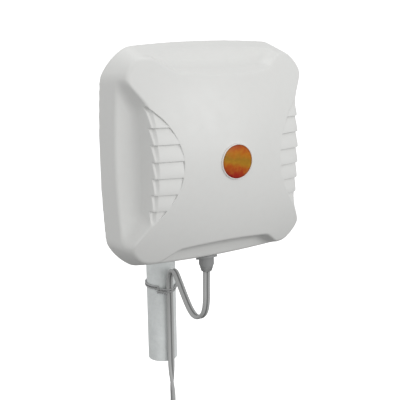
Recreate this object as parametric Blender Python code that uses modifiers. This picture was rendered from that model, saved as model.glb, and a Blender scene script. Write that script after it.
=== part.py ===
"""Pole-mounted square panel antenna with its tilting clamp, mast stub and twin coaxial lead.

Metres, +Z up. The origin is the centre of the mast's foot, the mast runs up +Z and the panel faces -Y.
"""

import math

import bmesh
import bpy
from mathutils import Matrix, Vector

# ---------------------------------------------------------------- driving dimensions (metres)
HALF = 0.128            # half of the panel's side at its back rim
PANEL_Z = 0.3065        # height of the panel's centre above the mast's foot
RIM_Y = -0.112          # plane of the radome's back rim
WALL = 0.0032           # radome wall
GAP = 0.0003            # between pieces that touch

MAST_R = 0.020
MAST_WALL = 0.002
MAST_TOP = 0.372

PIVOT_Y = -0.066        # tilt axis
TILT_MAX = math.radians(20.0)
LOCK_R = 0.030          # lock bolt's distance below the tilt axis
EAR_IN, EAR_OUT, EAR_T = 0.0330, 0.0363, 0.0030   # inner faces of the mast ears and of the antenna ears

# shares of HALF that shape the radome
DRAFT = 0.304           # how fast the side walls close in, per unit of depth
CLIP, CLIP_DRAFT = 0.263, 0.349      # clipped corner's leg at the rim, and how fast it shrinks
BOW = 0.028             # how far the sides bow out at their middles
CROWN = 0.633           # depth of the face at its centre
CROWN_X, CROWN_Z = 0.179, 0.243      # curvature of the crowned face
ROUND_DEPTH = 2.0       # semi-axis of the ellipsoid that forms the crown
SHELF, SHELF_SLOPE, SHELF_OUT = 0.200, 0.42, 0.967   # depth of the pockets' floor at its outer edge, and its slope
FRONT = 0.74            # depth at which the pocket cutters end, in front of the crown
LOUVRES = 7
LOUVRE_DEPTH = 0.0175

# lead
CORD_R = 0.0036         # tube that stands for the 9.8 x 4.9 mm twin lead
GLAND_Y = -0.1228
RUN_Y = -0.0246         # centre of the lead where it lies on the mast's front
TIE_Z = 0.1075
COIL_Y, COIL_Z, COIL_R = -0.0375, -0.160, 0.0588    # the coil hangs in front of the mast's line, clear of its foot
COIL_HALF_W, COIL_HALF_T = 0.0158, 0.0134           # half its size along Y, and half its radial size


# ---------------------------------------------------------------- scene and helpers
for old in list(bpy.data.objects):
    bpy.data.objects.remove(old, do_unlink=True)
for old in list(bpy.data.collections):
    bpy.data.collections.remove(old)

PARTS = bpy.data.collections.new("panel_antenna")
CUTTERS = bpy.data.collections.new("cutters")
bpy.context.scene.collection.children.link(PARTS)
bpy.context.scene.collection.children.link(CUTTERS)
CUTTERS.hide_render = True


def material(name, color, roughness, metallic=0.0):
    found = bpy.data.materials.get(name)
    if found:
        return found
    made = bpy.data.materials.new(name)
    made.use_nodes = True
    shader = made.node_tree.nodes["Principled BSDF"]
    shader.inputs["Base Color"].default_value = (*color, 1.0)
    shader.inputs["Roughness"].default_value = roughness
    shader.inputs["Metallic"].default_value = metallic
    made.diffuse_color = (*color, 1.0)
    return made


WHITE = ("radome_abs", (0.84, 0.85, 0.86), 0.38)
COVER = ("cover_abs", (0.80, 0.81, 0.82), 0.45)
SEAL = ("seal_rubber", (0.05, 0.05, 0.05), 0.8)
ZINC = ("zinc_steel", (0.66, 0.67, 0.68), 0.35, 1.0)
GALV = ("galvanised_steel", (0.58, 0.60, 0.60), 0.45, 0.8)
ALU = ("sheet_aluminium", (0.80, 0.80, 0.81), 0.3, 1.0)
BOARD = ("circuit_board", (0.10, 0.30, 0.16), 0.5)
NYLON = ("nylon", (0.88, 0.87, 0.82), 0.5)
GREY = ("gland_grey", (0.32, 0.33, 0.34), 0.55)
CABLE = ("cable_grey", (0.50, 0.52, 0.54), 0.5)
BADGE = ("badge_amber", (0.90, 0.32, 0.08), 0.3)
CAPS = ("cap_black", (0.05, 0.05, 0.055), 0.55)
WIRE = ("tie_wire", (0.45, 0.46, 0.47), 0.4, 0.7)
BRASS = ("nickel_brass", (0.75, 0.72, 0.62), 0.25, 1.0)


def keep(obj, mat=None, cutter=False):
    """Puts the object in its collection, with its material or as a wire-drawn cutter."""
    for owner in list(obj.users_collection):
        owner.objects.unlink(obj)
    (CUTTERS if cutter else PARTS).objects.link(obj)
    if cutter:
        obj.hide_render = True
        obj.display_type = "WIRE"
    elif mat:
        obj.data.materials.clear()
        obj.data.materials.append(material(*mat))
    return obj


def from_bmesh(name, bm, mat=None, cutter=False, at=(0, 0, 0), turn=None, smooth=None):
    bmesh.ops.recalc_face_normals(bm, faces=bm.faces)
    mesh = bpy.data.meshes.new(name)
    bm.to_mesh(mesh)
    bm.free()
    obj = bpy.data.objects.new(name, mesh)
    obj.location = at
    if turn is not None:
        obj.rotation_euler = turn
    keep(obj, mat, cutter)
    if smooth:
        mesh.shade_smooth()
        mesh.set_sharp_from_angle(angle=math.radians(smooth))
    return obj


AXIS_TURN = {
    "Z": (0, 0, 0),
    "Y": (math.radians(90), 0, 0),
    "X": (0, math.radians(90), 0),
}


def cylinder(name, radius, length, at, axis="Z", mat=None, cutter=False, sides=32, turn=None):
    """A cylinder centred at `at`, along a row axis."""
    bm = bmesh.new()
    bmesh.ops.create_cone(bm, cap_ends=True, segments=sides, radius1=radius, radius2=radius, depth=length)
    return from_bmesh(name, bm, mat, cutter, at, turn or AXIS_TURN[axis], smooth=40)


def box(name, size, at, mat=None, cutter=False, turn=None, round_edges=0.0):
    bm = bmesh.new()
    bmesh.ops.create_cube(bm, size=1.0)
    bmesh.ops.scale(bm, vec=Vector(size), verts=bm.verts)
    obj = from_bmesh(name, bm, mat, cutter, at, turn)
    if round_edges:
        bevel = obj.modifiers.new("rounded", "BEVEL")
        bevel.width = round_edges
        bevel.segments = 1
    return obj


def loft(name, low, high, mat=None, cutter=False):
    """A closed solid between two rings of the same number of points."""
    bm = bmesh.new()
    a = [bm.verts.new(p) for p in low]
    b = [bm.verts.new(p) for p in high]
    bm.faces.new(a)
    bm.faces.new(b)
    n = len(a)
    for i in range(n):
        bm.faces.new((a[i], a[(i + 1) % n], b[(i + 1) % n], b[i]))
    return from_bmesh(name, bm, mat, cutter)


def outline(name, points, thickness, mat, at=(0, 0, 0), turn=None):
    """A flat outline in its own XY plane, as a filled 2D curve extruded both ways, made a mesh."""
    curve = bpy.data.curves.new(name, "CURVE")
    curve.dimensions = "2D"
    curve.fill_mode = "BOTH"
    curve.extrude = thickness / 2
    spline = curve.splines.new("POLY")
    spline.points.add(len(points) - 1)
    for point, (x, y) in zip(spline.points, points):
        point.co = (x, y, 0, 1)
    spline.use_cyclic_u = True
    draft = bpy.data.objects.new(name + "_outline", curve)
    bpy.context.scene.collection.objects.link(draft)
    bpy.context.view_layer.update()
    mesh = bpy.data.meshes.new_from_object(draft.evaluated_get(bpy.context.evaluated_depsgraph_get()))
    bm = bmesh.new()
    bm.from_mesh(mesh)
    bmesh.ops.remove_doubles(bm, verts=bm.verts, dist=1e-6)
    bpy.data.meshes.remove(mesh)
    bpy.data.objects.remove(draft, do_unlink=True)
    bpy.data.curves.remove(curve)
    return from_bmesh(name, bm, mat, at=at, turn=turn)


def turned(name, profile, at, mat=None, cutter=False, turn=None, steps=32, closed=False):
    """A turned piece: (radius, height) points down its outer side, on a Screw modifier."""
    bm = bmesh.new()
    verts = [bm.verts.new((r, 0, z)) for r, z in profile]
    for a, b in zip(verts, verts[1:]):
        bm.edges.new((a, b))
    if closed:
        bm.edges.new((verts[-1], verts[0]))
    mesh = bpy.data.meshes.new(name)
    bm.to_mesh(mesh)
    bm.free()
    obj = bpy.data.objects.new(name, mesh)
    obj.location = at
    if turn is not None:
        obj.rotation_euler = turn
    keep(obj, mat, cutter)
    screw = obj.modifiers.new("turned", "SCREW")
    screw.steps = steps
    screw.render_steps = steps
    screw.use_merge_vertices = True
    screw.merge_threshold = 1e-5
    screw.use_smooth_shade = True
    return obj


def tube(name, points, radius, mat, resolution=2, closed=False):
    """A round wire along a POLY spline, with filled caps."""
    curve = bpy.data.curves.new(name, "CURVE")
    curve.dimensions = "3D"
    curve.bevel_depth = radius
    curve.bevel_resolution = resolution
    curve.use_fill_caps = not closed
    spline = curve.splines.new("POLY")
    spline.points.add(len(points) - 1)
    for point, co in zip(spline.points, points):
        point.co = (*co, 1)
    spline.use_cyclic_u = closed
    obj = bpy.data.objects.new(name, curve)
    keep(obj, mat)
    return obj


def meshed(obj):
    """The curve object made a mesh with welded caps, so that it can be cut or joined."""
    name, mats = obj.name, [m for m in obj.data.materials]
    bpy.context.view_layer.update()
    evaluated = obj.evaluated_get(bpy.context.evaluated_depsgraph_get())
    mesh = bpy.data.meshes.new_from_object(evaluated)
    bm = bmesh.new()
    bm.from_mesh(mesh)
    bmesh.ops.remove_doubles(bm, verts=bm.verts, dist=1e-6)
    bmesh.ops.recalc_face_normals(bm, faces=bm.faces)
    bm.to_mesh(mesh)
    bm.free()
    made = bpy.data.objects.new(name + "_mesh", mesh)
    made.matrix_world = obj.matrix_world.copy()
    curve = obj.data
    bpy.data.objects.remove(obj, do_unlink=True)
    bpy.data.curves.remove(curve)
    keep(made)
    made.data.materials.clear()
    for m in mats:
        made.data.materials.append(m)
    made.name = name
    return made


def boolean(obj, other, operation="DIFFERENCE", label=None):
    modifier = obj.modifiers.new(label or operation.lower(), "BOOLEAN")
    modifier.operation = operation
    modifier.solver = "EXACT"
    modifier.object = other
    return modifier


def cut(obj, *others):
    for other in others:
        boolean(obj, other)
    return obj


def join(obj, *others):
    for other in others:
        keep(other, cutter=True)
        boolean(obj, other, "UNION")
    return obj


def smooth_path(points, steps, count=None):
    """Points along a Catmull-Rom curve through the given points, evenly spaced by length if a count is given."""
    pts = [Vector(p) for p in points]
    pts = [2 * pts[0] - pts[1]] + pts + [2 * pts[-1] - pts[-2]]
    out = []
    for i in range(1, len(pts) - 2):
        p0, p1, p2, p3 = pts[i - 1: i + 3]
        for k in range(steps):
            t = k / steps
            out.append(0.5 * ((2 * p1) + (p2 - p0) * t + (2 * p0 - 5 * p1 + 4 * p2 - p3) * t * t
                              + (3 * p1 - p0 - 3 * p2 + p3) * t ** 3))
    out.append(pts[-2].copy())
    if not count:
        return out
    lengths = [0.0]
    for a, b in zip(out, out[1:]):
        lengths.append(lengths[-1] + (b - a).length)
    even, j = [], 0
    for k in range(count):
        want = lengths[-1] * k / (count - 1)
        while j < len(out) - 2 and lengths[j + 1] < want:
            j += 1
        share = (want - lengths[j]) / max(lengths[j + 1] - lengths[j], 1e-12)
        even.append(out[j].lerp(out[j + 1], min(max(share, 0.0), 1.0)))
    return even


# ---------------------------------------------------------------- joint axes
def empty(name, at):
    obj = bpy.data.objects.new(name, None)
    obj.location = at
    obj.empty_display_size = 0.03
    PARTS.objects.link(obj)
    return obj


azimuth_axis = empty("azimuth_axis", (0, 0, PANEL_Z))
tilt_axis = empty("tilt_axis", (0, PIVOT_Y, PANEL_Z))
bpy.context.view_layer.update()
tilt_axis.parent = azimuth_axis
tilt_axis.matrix_parent_inverse = azimuth_axis.matrix_world.inverted()


# ---------------------------------------------------------------- radome
def place(u, depth, v):
    """A point in shares of HALF (across, forward of the rim, up) as a point in metres."""
    return (u * HALF, RIM_Y - depth * HALF, PANEL_Z + v * HALF)


def shell_outline(depth, inset=0.0):
    """The clipped square with bowed sides at one depth, as (across, up) pairs."""
    h = 1.0 - DRAFT * depth
    c = max(CLIP - CLIP_DRAFT * depth, 0.02)
    h -= inset
    c = max(c - 0.586 * inset, 0.01)
    flat = h - c
    side = []
    for k in range(7):
        u = -flat + 2 * flat * k / 6
        side.append((u, h + BOW * (1 - (u / flat) ** 2)))
    side.append((flat + 0.56 * c, h - 0.44 * c + 0.08 * c))
    points = []
    for quarter in range(4):
        a = -quarter * math.pi / 2
        for u, v in side:
            points.append((u * math.cos(a) - v * math.sin(a), u * math.sin(a) + v * math.cos(a)))
    return points


def crown(name, inset=0.0):
    """The ellipsoid whose front cap is the crowned face."""
    bm = bmesh.new()
    bmesh.ops.create_uvsphere(bm, u_segments=64, v_segments=40, radius=1.0)
    sx = math.sqrt(ROUND_DEPTH / (2 * CROWN_X)) - inset
    sz = math.sqrt(ROUND_DEPTH / (2 * CROWN_Z)) - inset
    bmesh.ops.scale(bm, vec=Vector((sx * HALF, (ROUND_DEPTH - inset) * HALF, sz * HALF)), verts=bm.verts)
    return from_bmesh(name, bm, cutter=True, at=place(0, CROWN - ROUND_DEPTH, 0))


def face_depth(u, v):
    """Depth of the crowned face at a place on it."""
    sx2, sz2 = ROUND_DEPTH / (2 * CROWN_X), ROUND_DEPTH / (2 * CROWN_Z)
    return CROWN - ROUND_DEPTH + ROUND_DEPTH * math.sqrt(max(0.0, 1 - u * u / sx2 - v * v / sz2))


def pocket(name, side, inset=0.0):
    """One scooped pocket, as a solid to take away. `side` is 0 top, 1 left, 2 bottom, 3 right."""
    upright = side % 2 == 1
    # (mid wall, bow, turning point, end point) of the wall at the face and at the pocket's floor
    if upright:
        face = (0.714, 0.012, 0.655, 1.15, 1.06)
        foot = (0.790, 0.050, 0.445, 0.937, 1.06)
    else:
        face = (0.665, 0.120, 0.50, 0.97, 1.06)
        foot = (0.812, 0.060, 0.46, 0.84, 1.06)
    rings = []
    for index, (v0, bow, turn, end, out) in enumerate((foot, face)):
        v0, turn, end = v0 - inset, turn + 0.6 * inset, end + 0.9 * inset
        half = []
        for k in range(5):
            u = turn * (4 - k) / 4
            half.append((u, v0 + bow * u * u))
        ring = [(1.60 * end / 1.0, 1.5), (end + 0.03, out)] + half
        full = ring + [(-u, v) for u, v in reversed(ring[:-1])]
        points = []
        for u, v in full:
            depth = FRONT if index else SHELF + SHELF_SLOPE * (SHELF_OUT - v) - 1.08 * inset
            a = side * math.pi / 2
            x, z = u * math.cos(a) - v * math.sin(a), u * math.sin(a) + v * math.cos(a)
            points.append(place(x, depth, z))
        rings.append(points)
    return loft(name, rings[0], rings[1], cutter=True)


def louvre_line(k):
    """Height of the k-th louvre line, from the top."""
    return 0.4795 - 0.1445 * k


def louvre_cell(name, sign, k):
    """The wedge under one louvre line: deep at its top and level with the face at its bottom."""
    top = louvre_line(k) if k else 0.500
    low = louvre_line(k + 1) if k < LOUVRES - 1 else -0.500
    top, low = top - 0.004, low + 0.012

    def inner(v, first):
        u = 0.500 + 0.96 * v * v
        return min(u + (0.03 if first else 0.0), 0.742)

    corners = []
    for v, deep in ((top, LOUVRE_DEPTH), (low, -0.002)):
        for u in (inner(v, False), 0.86):
            # a straight floor between the two ends, so the cell stays shallow where the face curves
            for front in (False, True):
                depth = FRONT if front else face_depth(u, v) - deep
                corners.append(place(sign * u, depth, v))
    a, b, c, d, e, f, g, h = corners  # top: inner floor, inner front, outer floor, outer front; then the same below
    return loft(name, [a, c, g, e], [b, d, h, f], cutter=True)


radome = loft("front_radome", [place(u, 0.0, v) for u, v in shell_outline(0.0)],
              [place(u, 0.70, v) for u, v in shell_outline(0.70)], mat=WHITE)
cavity = loft("radome_cavity", [place(u, -0.06, v) for u, v in shell_outline(-0.06, 0.026)],
              [place(u, 0.70, v) for u, v in shell_outline(0.70, 0.026)], cutter=True)
boolean(radome, crown("crown_outer"), "INTERSECT")
boolean(cavity, crown("crown_inner", WALL / HALF), "INTERSECT")
for index, side_name in enumerate(("top", "left", "bottom", "right")):
    cut(radome, pocket(f"pocket_{side_name}", index))
    cut(cavity, pocket(f"pocket_{side_name}_inner", index, 1.05 * WALL / HALF))
BOSSES = [(0.114, 0.0), (-0.114, 0.0), (0.099, 0.099), (0.099, -0.099), (-0.099, -0.099), (-0.099, 0.099)]
for k, (x, z) in enumerate(BOSSES):
    cut(cavity, cylinder(f"boss_{k + 1}", 0.0045, 0.09, (x, RIM_Y - 0.0020 - 0.045, PANEL_Z + z), "Y", cutter=True, sides=16))
cut(radome, cavity)
for sign, side_name in ((-1, "left"), (1, "right")):
    for k in range(LOUVRES):
        cut(radome, louvre_cell(f"louvre_{side_name}_{k + 1}", sign, k))
for k, (x, z) in enumerate(BOSSES):
    cut(radome, cylinder(f"boss_hole_{k + 1}", 0.0017, 0.016, (x, RIM_Y - 0.007, PANEL_Z + z), "Y", cutter=True, sides=12))

BOTTOM_TILT = math.atan(DRAFT)
GLAND_TOP = Vector((0, GLAND_Y, PANEL_Z - HALF * (1.0 + BOW - DRAFT * (RIM_Y - GLAND_Y) / HALF)))
cut(radome, cylinder("gland_hole", 0.0068, 0.020, GLAND_TOP, cutter=True, turn=(-BOTTOM_TILT, 0, 0)))

# ---------------------------------------------------------------- badge
BADGE_R = 0.0205
badge = turned("badge_disc", [(0, 0.0022), (0.008, 0.0021), (0.0150, 0.0015), (BADGE_R - 0.0006, 0.0009), (BADGE_R, 0.0002),
                              (BADGE_R, -0.0010), (0, -0.0010)],
               (0, RIM_Y - CROWN * HALF - 0.0008, PANEL_Z), BADGE, turn=(math.radians(90), 0, 0), steps=28)
cut(badge, crown("crown_badge", -GAP / HALF))

# ---------------------------------------------------------------- back cover, gasket, screws
COVER_T = 0.0030
cover_front, cover_back = RIM_Y + GAP, RIM_Y + GAP + COVER_T
cover = loft("back_cover",
             [(u * HALF, cover_front, PANEL_Z + v * HALF) for u, v in shell_outline(0.0, 0.010)],
             [(u * HALF, cover_back, PANEL_Z + v * HALF) for u, v in shell_outline(0.0, 0.022)], mat=COVER)
BRACKET_BOLTS = [(-0.025, 0.030), (0.025, 0.030), (-0.025, -0.030), (0.025, -0.030)]
for k, (x, z) in enumerate(BRACKET_BOLTS):
    join(cover, cylinder(f"insert_boss_{k + 1}", 0.007, 0.0125, (x, cover_front - 0.0050, PANEL_Z + z), "Y", sides=16))
for k, (x, z) in enumerate(BRACKET_BOLTS):
    cut(cover, cylinder(f"insert_hole_{k + 1}", 0.0033, 0.040, (x, cover_front, PANEL_Z + z), "Y", cutter=True, sides=16))
for k, (x, z) in enumerate(BOSSES):
    cut(cover, cylinder(f"cover_hole_{k + 1}", 0.0022, 0.020, (x, cover_front, PANEL_Z + z), "Y", cutter=True, sides=12))

gasket = loft("perimeter_gasket",
              [(u * HALF, RIM_Y - 0.0002, PANEL_Z + v * HALF) for u, v in shell_outline(0.0, 0.0335)],
              [(u * HALF, RIM_Y - 0.0026, PANEL_Z + v * HALF) for u, v in shell_outline(0.0, 0.0335)], mat=SEAL)
cut(gasket, loft("gasket_inside",
                 [(u * HALF, RIM_Y + 0.004, PANEL_Z + v * HALF) for u, v in shell_outline(0.0, 0.0515)],
                 [(u * HALF, RIM_Y - 0.008, PANEL_Z + v * HALF) for u, v in shell_outline(0.0, 0.0515)], cutter=True))

for k, (x, z) in enumerate(BOSSES):
    # pan head outside the cover, shank into the boss
    turned(f"cover_screw_{k + 1}",
           [(0, 0.0026), (0.0024, 0.0023), (0.0036, 0.0012), (0.0037, 0.0), (0.0014, 0.0), (0.0014, -0.0130), (0, -0.0150)],
           (x, cover_back + GAP, PANEL_Z + z), ZINC, turn=(math.radians(-90), 0, 0), steps=12)

# ---------------------------------------------------------------- reflector, radiator, director
REFL_FRONT = RIM_Y - 0.0176
REFL_T, REFL_HALF, REFL_CUT, REFL_LIP = 0.0015, 0.104, 0.024, 0.008


def octagon(half, leg):
    out = []
    for quarter in range(4):
        a = -quarter * math.pi / 2
        for u, v in ((-half + leg, half), (half - leg, half)):
            out.append((u * math.cos(a) - v * math.sin(a), u * math.sin(a) + v * math.cos(a)))
    return out


reflector = loft("reflector_plate",
                 [(x, REFL_FRONT + REFL_T, PANEL_Z + z) for x, z in octagon(REFL_HALF, REFL_CUT)],
                 [(x, REFL_FRONT - REFL_LIP, PANEL_Z + z) for x, z in octagon(REFL_HALF, REFL_CUT)], mat=ALU)
cut(reflector, loft("reflector_tray",
                    [(x, REFL_FRONT, PANEL_Z + z) for x, z in octagon(REFL_HALF - REFL_T, REFL_CUT - 0.0009)],
                    [(x, REFL_FRONT - 0.02, PANEL_Z + z) for x, z in octagon(REFL_HALF - REFL_T, REFL_CUT - 0.0009)], cutter=True))
POSTS = [(-0.068, 0.068), (0.068, 0.068), (-0.068, -0.068), (0.068, -0.068)]
for k, (x, z) in enumerate(POSTS):
    cut(reflector, cylinder(f"reflector_hole_{k + 1}", 0.0019, 0.01, (x, REFL_FRONT, PANEL_Z + z), "Y", cutter=True, sides=12))
for sign in (-1, 1):
    cut(reflector, cylinder(f"pigtail_hole_{'ab'[sign > 0]}", 0.0024, 0.01, (sign * 0.009, REFL_FRONT, PANEL_Z - 0.012), "Y", cutter=True, sides=16))
post_back, post_front = cover_front - GAP, REFL_FRONT + REFL_T + GAP
for k, (x, z) in enumerate(POSTS):
    post = cylinder(f"reflector_standoff_{k + 1}", 0.0045, post_back - post_front, (x, (post_back + post_front) / 2, PANEL_Z + z),
                    "Y", NYLON, sides=6)
    cut(post, cylinder(f"standoff_hole_{k + 1}", 0.0017, 0.010, (x, post_front, PANEL_Z + z), "Y", cutter=True, sides=12))
    turned(f"reflector_screw_{k + 1}",
           [(0, 0.0020), (0.0020, 0.0018), (0.0028, 0.0009), (0.0029, 0.0), (0.0014, 0.0), (0.0014, -0.0055), (0, -0.0065)],
           (x, REFL_FRONT - GAP, PANEL_Z + z), ZINC, turn=(math.radians(90), 0, 0), steps=12)

BALUN_H, BALUN_W, BOARD_T = 0.040, 0.036, 0.0016
balun_mid = REFL_FRONT - GAP - BALUN_H / 2
for letter, angle in (("a", 45.0), ("b", -45.0)):
    board = box(f"balun_board_{letter}", (BALUN_W, BALUN_H, BOARD_T), (0, balun_mid, PANEL_Z), BOARD,
                turn=(0, math.radians(angle), 0))
    half_slot = BALUN_H / 4 * (1 if letter == "a" else -1)
    cut(board, box(f"balun_slot_{letter}", (BOARD_T + 0.0006, BALUN_H / 2 + 0.0008, 0.01), (0, balun_mid + half_slot, PANEL_Z),
                   cutter=True, turn=(0, math.radians(angle), 0)))
RAD_BACK = balun_mid - BALUN_H / 2 - GAP
radiator = box("radiator_board", (0.100, BOARD_T, 0.100), (0, RAD_BACK - BOARD_T / 2, PANEL_Z), BOARD)
DIRECTOR_Y = RAD_BACK - BOARD_T - 0.0088
cylinder("director_spacer", 0.0035, 0.0088 - 2 * GAP, (0, RAD_BACK - BOARD_T - 0.0044, PANEL_Z), "Y", NYLON, sides=16)
box("director_plate", (0.056, 0.0010, 0.056), (0, DIRECTOR_Y - 0.0005, PANEL_Z), ALU)

for letter, sign in (("a", -1), ("b", 1)):
    x = sign * 0.009
    path = smooth_path([(x, REFL_FRONT - 0.0026, PANEL_Z - 0.012), (x, REFL_FRONT + 0.004, PANEL_Z - 0.0125),
                        (x, REFL_FRONT + 0.0088, PANEL_Z - 0.020), (x, REFL_FRONT + 0.0092, PANEL_Z - 0.045),
                        (x * 0.95, REFL_FRONT + 0.0092, PANEL_Z - 0.080), (x * 0.85, REFL_FRONT + 0.0086, PANEL_Z - 0.1045),
                        (x * 0.30, GLAND_Y, PANEL_Z - 0.1185)], 6, 18)
    tube(f"coax_pigtail_{letter}", path, 0.0013, SEAL)

# ---------------------------------------------------------------- cable gland and boot
tilt = Matrix.Rotation(-BOTTOM_TILT, 4, "X")
down = (tilt @ Vector((0, 0, -1))).normalized()
gland = cylinder("cable_gland", 0.0132, 0.0026, GLAND_TOP + down * (0.0013 + GAP), mat=GREY, turn=(-BOTTOM_TILT, 0, 0), sides=40)
BODY_R = 0.0094
ring = [(BODY_R * math.cos(2 * math.pi * k / 24), BODY_R * math.sin(2 * math.pi * k / 24)) for k in range(24)]
join(gland,
     cylinder("gland_neck", 0.0064, 0.0070, GLAND_TOP - down * 0.0013, turn=(-BOTTOM_TILT, 0, 0), sides=24),
     loft("gland_body", [(x, GLAND_Y + y, GLAND_TOP.z - 0.0105) for x, y in ring],
          [(x, GLAND_Y + y, GLAND_TOP.z - DRAFT * y - 0.0016) for x, y in ring]))
cut(gland, cylinder("gland_bore", 0.0048, 0.06, (0, GLAND_Y, GLAND_TOP.z - 0.005), cutter=True, sides=24))
BOOT_TOP = GLAND_TOP.z - 0.0105 - GAP
boot_profile = [(0.0086, 0.0), (0.0086, -0.0016), (0.0076, -0.0018), (0.0076, -0.0026), (0.0080, -0.0028), (0.0078, -0.0044),
                (0.0068, -0.0046), (0.0068, -0.0054), (0.0073, -0.0056), (0.0068, -0.0076), (0.0060, -0.0082)]
turned("gland_boot", [(0.0054, 0.0)] + boot_profile + [(0.0054, -0.0082)], (0, GLAND_Y, BOOT_TOP), GREY, steps=20, closed=True)

# ---------------------------------------------------------------- antenna bracket (tilts with the panel)
BR_PLATE_BACK = cover_back + GAP + 0.0030        # plate from the cover outwards
bracket = box("antenna_bracket", (2 * (EAR_OUT + EAR_T) - 0.0008, 0.0030, 0.088), (0, cover_back + GAP + 0.0015, PANEL_Z), ZINC)
ear_points = [(RIM_Y + 0.0046, 0.030), (RIM_Y + 0.0046, -0.042)]
for k in range(9):
    a = math.radians(-90 + 90 * k / 8)
    ear_points.append((PIVOT_Y + 0.002 + 0.011 * math.cos(a), -0.031 + 0.011 * math.sin(a)))
for k in range(9):
    a = math.radians(0 + 100 * k / 8)
    ear_points.append((PIVOT_Y + 0.013 * math.cos(a), 0.013 * math.sin(a)))
for sign in (-1, 1):
    ear = outline(f"antenna_ear_{'ab'[sign > 0]}", ear_points, EAR_T, ZINC, at=(sign * (EAR_OUT + EAR_T / 2), 0, PANEL_Z),
                  turn=(math.radians(90), 0, math.radians(90)))
    join(bracket, ear)
BOLT_R, BOLT_HOLE_R = 0.0039, 0.0041
LOCK_BOLT_R, LOCK_HOLE_R = 0.0029, 0.0031
cut(bracket,
    cylinder("antenna_pivot_hole", BOLT_HOLE_R, 0.12, (0, PIVOT_Y, PANEL_Z), "X", cutter=True, sides=24),
    cylinder("antenna_lock_hole", LOCK_HOLE_R, 0.12, (0, PIVOT_Y, PANEL_Z - LOCK_R), "X", cutter=True, sides=20))
for k, (x, z) in enumerate(BRACKET_BOLTS):
    cut(bracket, cylinder(f"bracket_hole_{k + 1}", 0.0033, 0.02, (x, cover_back, PANEL_Z + z), "Y", cutter=True, sides=16))
    bolt = cylinder(f"bracket_bolt_{k + 1}", 0.0056, 0.0040, (x, BR_PLATE_BACK + GAP + 0.0020, PANEL_Z + z), "Y", ZINC, sides=6)
    join(bolt, cylinder(f"bracket_shank_{k + 1}", 0.0029, 0.0175, (x, BR_PLATE_BACK + GAP + 0.0005 - 0.00875, PANEL_Z + z), "Y", sides=16))

# ---------------------------------------------------------------- mast bracket (turns about the mast)
MP_FRONT, MP_BACK = -0.0355, -0.0325
mast_bracket = box("mast_bracket", (2 * (EAR_IN + EAR_T) - 0.0008, MP_BACK - MP_FRONT, 0.096), (0, (MP_FRONT + MP_BACK) / 2, PANEL_Z), ZINC)
ear_points = [(MP_BACK - 0.0010, 0.022), (MP_BACK - 0.0010, -0.046)]
for k in range(9):
    a = math.radians(-90 - 46 * k / 8)
    ear_points.append((PIVOT_Y + 0.042 * math.cos(a), 0.042 * math.sin(a)))
for k in range(7):
    a = math.radians(200 - 110 * k / 6)
    ear_points.append((PIVOT_Y + 0.013 * math.cos(a), 0.013 * math.sin(a)))
for sign in (-1, 1):
    ear = outline(f"mast_ear_{'ab'[sign > 0]}", ear_points, EAR_T, ZINC, at=(sign * (EAR_IN + EAR_T / 2), 0, PANEL_Z),
                  turn=(math.radians(90), 0, math.radians(90)))
    join(mast_bracket, ear)
slot = []
SLOT_HALF, SLOT_SPAN = 0.0033, TILT_MAX + math.radians(1.0)
for k in range(13):
    a = -math.pi / 2 - SLOT_SPAN + 2 * SLOT_SPAN * k / 12
    slot.append(((LOCK_R + SLOT_HALF) * math.cos(a), (LOCK_R + SLOT_HALF) * math.sin(a)))
for k in range(1, 8):
    a = -math.pi / 2 + SLOT_SPAN
    b = a + math.pi * k / 8
    slot.append((LOCK_R * math.cos(a) + SLOT_HALF * math.cos(b), LOCK_R * math.sin(a) + SLOT_HALF * math.sin(b)))
for k in range(13):
    a = -math.pi / 2 + SLOT_SPAN - 2 * SLOT_SPAN * k / 12
    slot.append(((LOCK_R - SLOT_HALF) * math.cos(a), (LOCK_R - SLOT_HALF) * math.sin(a)))
for k in range(1, 8):
    a = -math.pi / 2 - SLOT_SPAN
    b = a + math.pi + math.pi * k / 8
    slot.append((LOCK_R * math.cos(a) + SLOT_HALF * math.cos(b), LOCK_R * math.sin(a) + SLOT_HALF * math.sin(b)))
slot_cutter = loft("lock_slot", [(-0.06, PIVOT_Y + y, PANEL_Z + z) for y, z in slot],
                   [(0.06, PIVOT_Y + y, PANEL_Z + z) for y, z in slot], cutter=True)
cut(mast_bracket, slot_cutter,
    cylinder("mast_pivot_hole", BOLT_HOLE_R, 0.12, (0, PIVOT_Y, PANEL_Z), "X", cutter=True, sides=24))

# pivot bolt and lock bolt, each through all four ears
PIN_END = EAR_OUT + EAR_T
pivot = cylinder("tilt_bolt", 0.0072, 0.0053, (-PIN_END - GAP - 0.00265, PIVOT_Y, PANEL_Z), "X", ZINC, sides=6)
join(pivot, cylinder("tilt_shank", BOLT_R, 0.0930, (0.0045, PIVOT_Y, PANEL_Z), "X", sides=24))
nut = cylinder("tilt_nut", 0.0072, 0.0065, (PIN_END + GAP + 0.00325, PIVOT_Y, PANEL_Z), "X", ZINC, sides=6)
cut(nut, cylinder("tilt_nut_hole", BOLT_R + GAP, 0.02, (PIN_END, PIVOT_Y, PANEL_Z), "X", cutter=True, sides=24))
lock = cylinder("tilt_lock_bolt", 0.0056, 0.0040, (-PIN_END - GAP - 0.0020, PIVOT_Y, PANEL_Z - LOCK_R), "X", ZINC, sides=6)
join(lock, cylinder("lock_shank", LOCK_BOLT_R, 0.0900, (0.0040, PIVOT_Y, PANEL_Z - LOCK_R), "X", sides=20))
lock_nut = cylinder("tilt_lock_nut", 0.0056, 0.0050, (PIN_END + GAP + 0.0025, PIVOT_Y, PANEL_Z - LOCK_R), "X", ZINC, sides=6)
cut(lock_nut, cylinder("lock_nut_hole", LOCK_BOLT_R + GAP, 0.02, (PIN_END, PIVOT_Y, PANEL_Z - LOCK_R), "X", cutter=True, sides=20))

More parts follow.
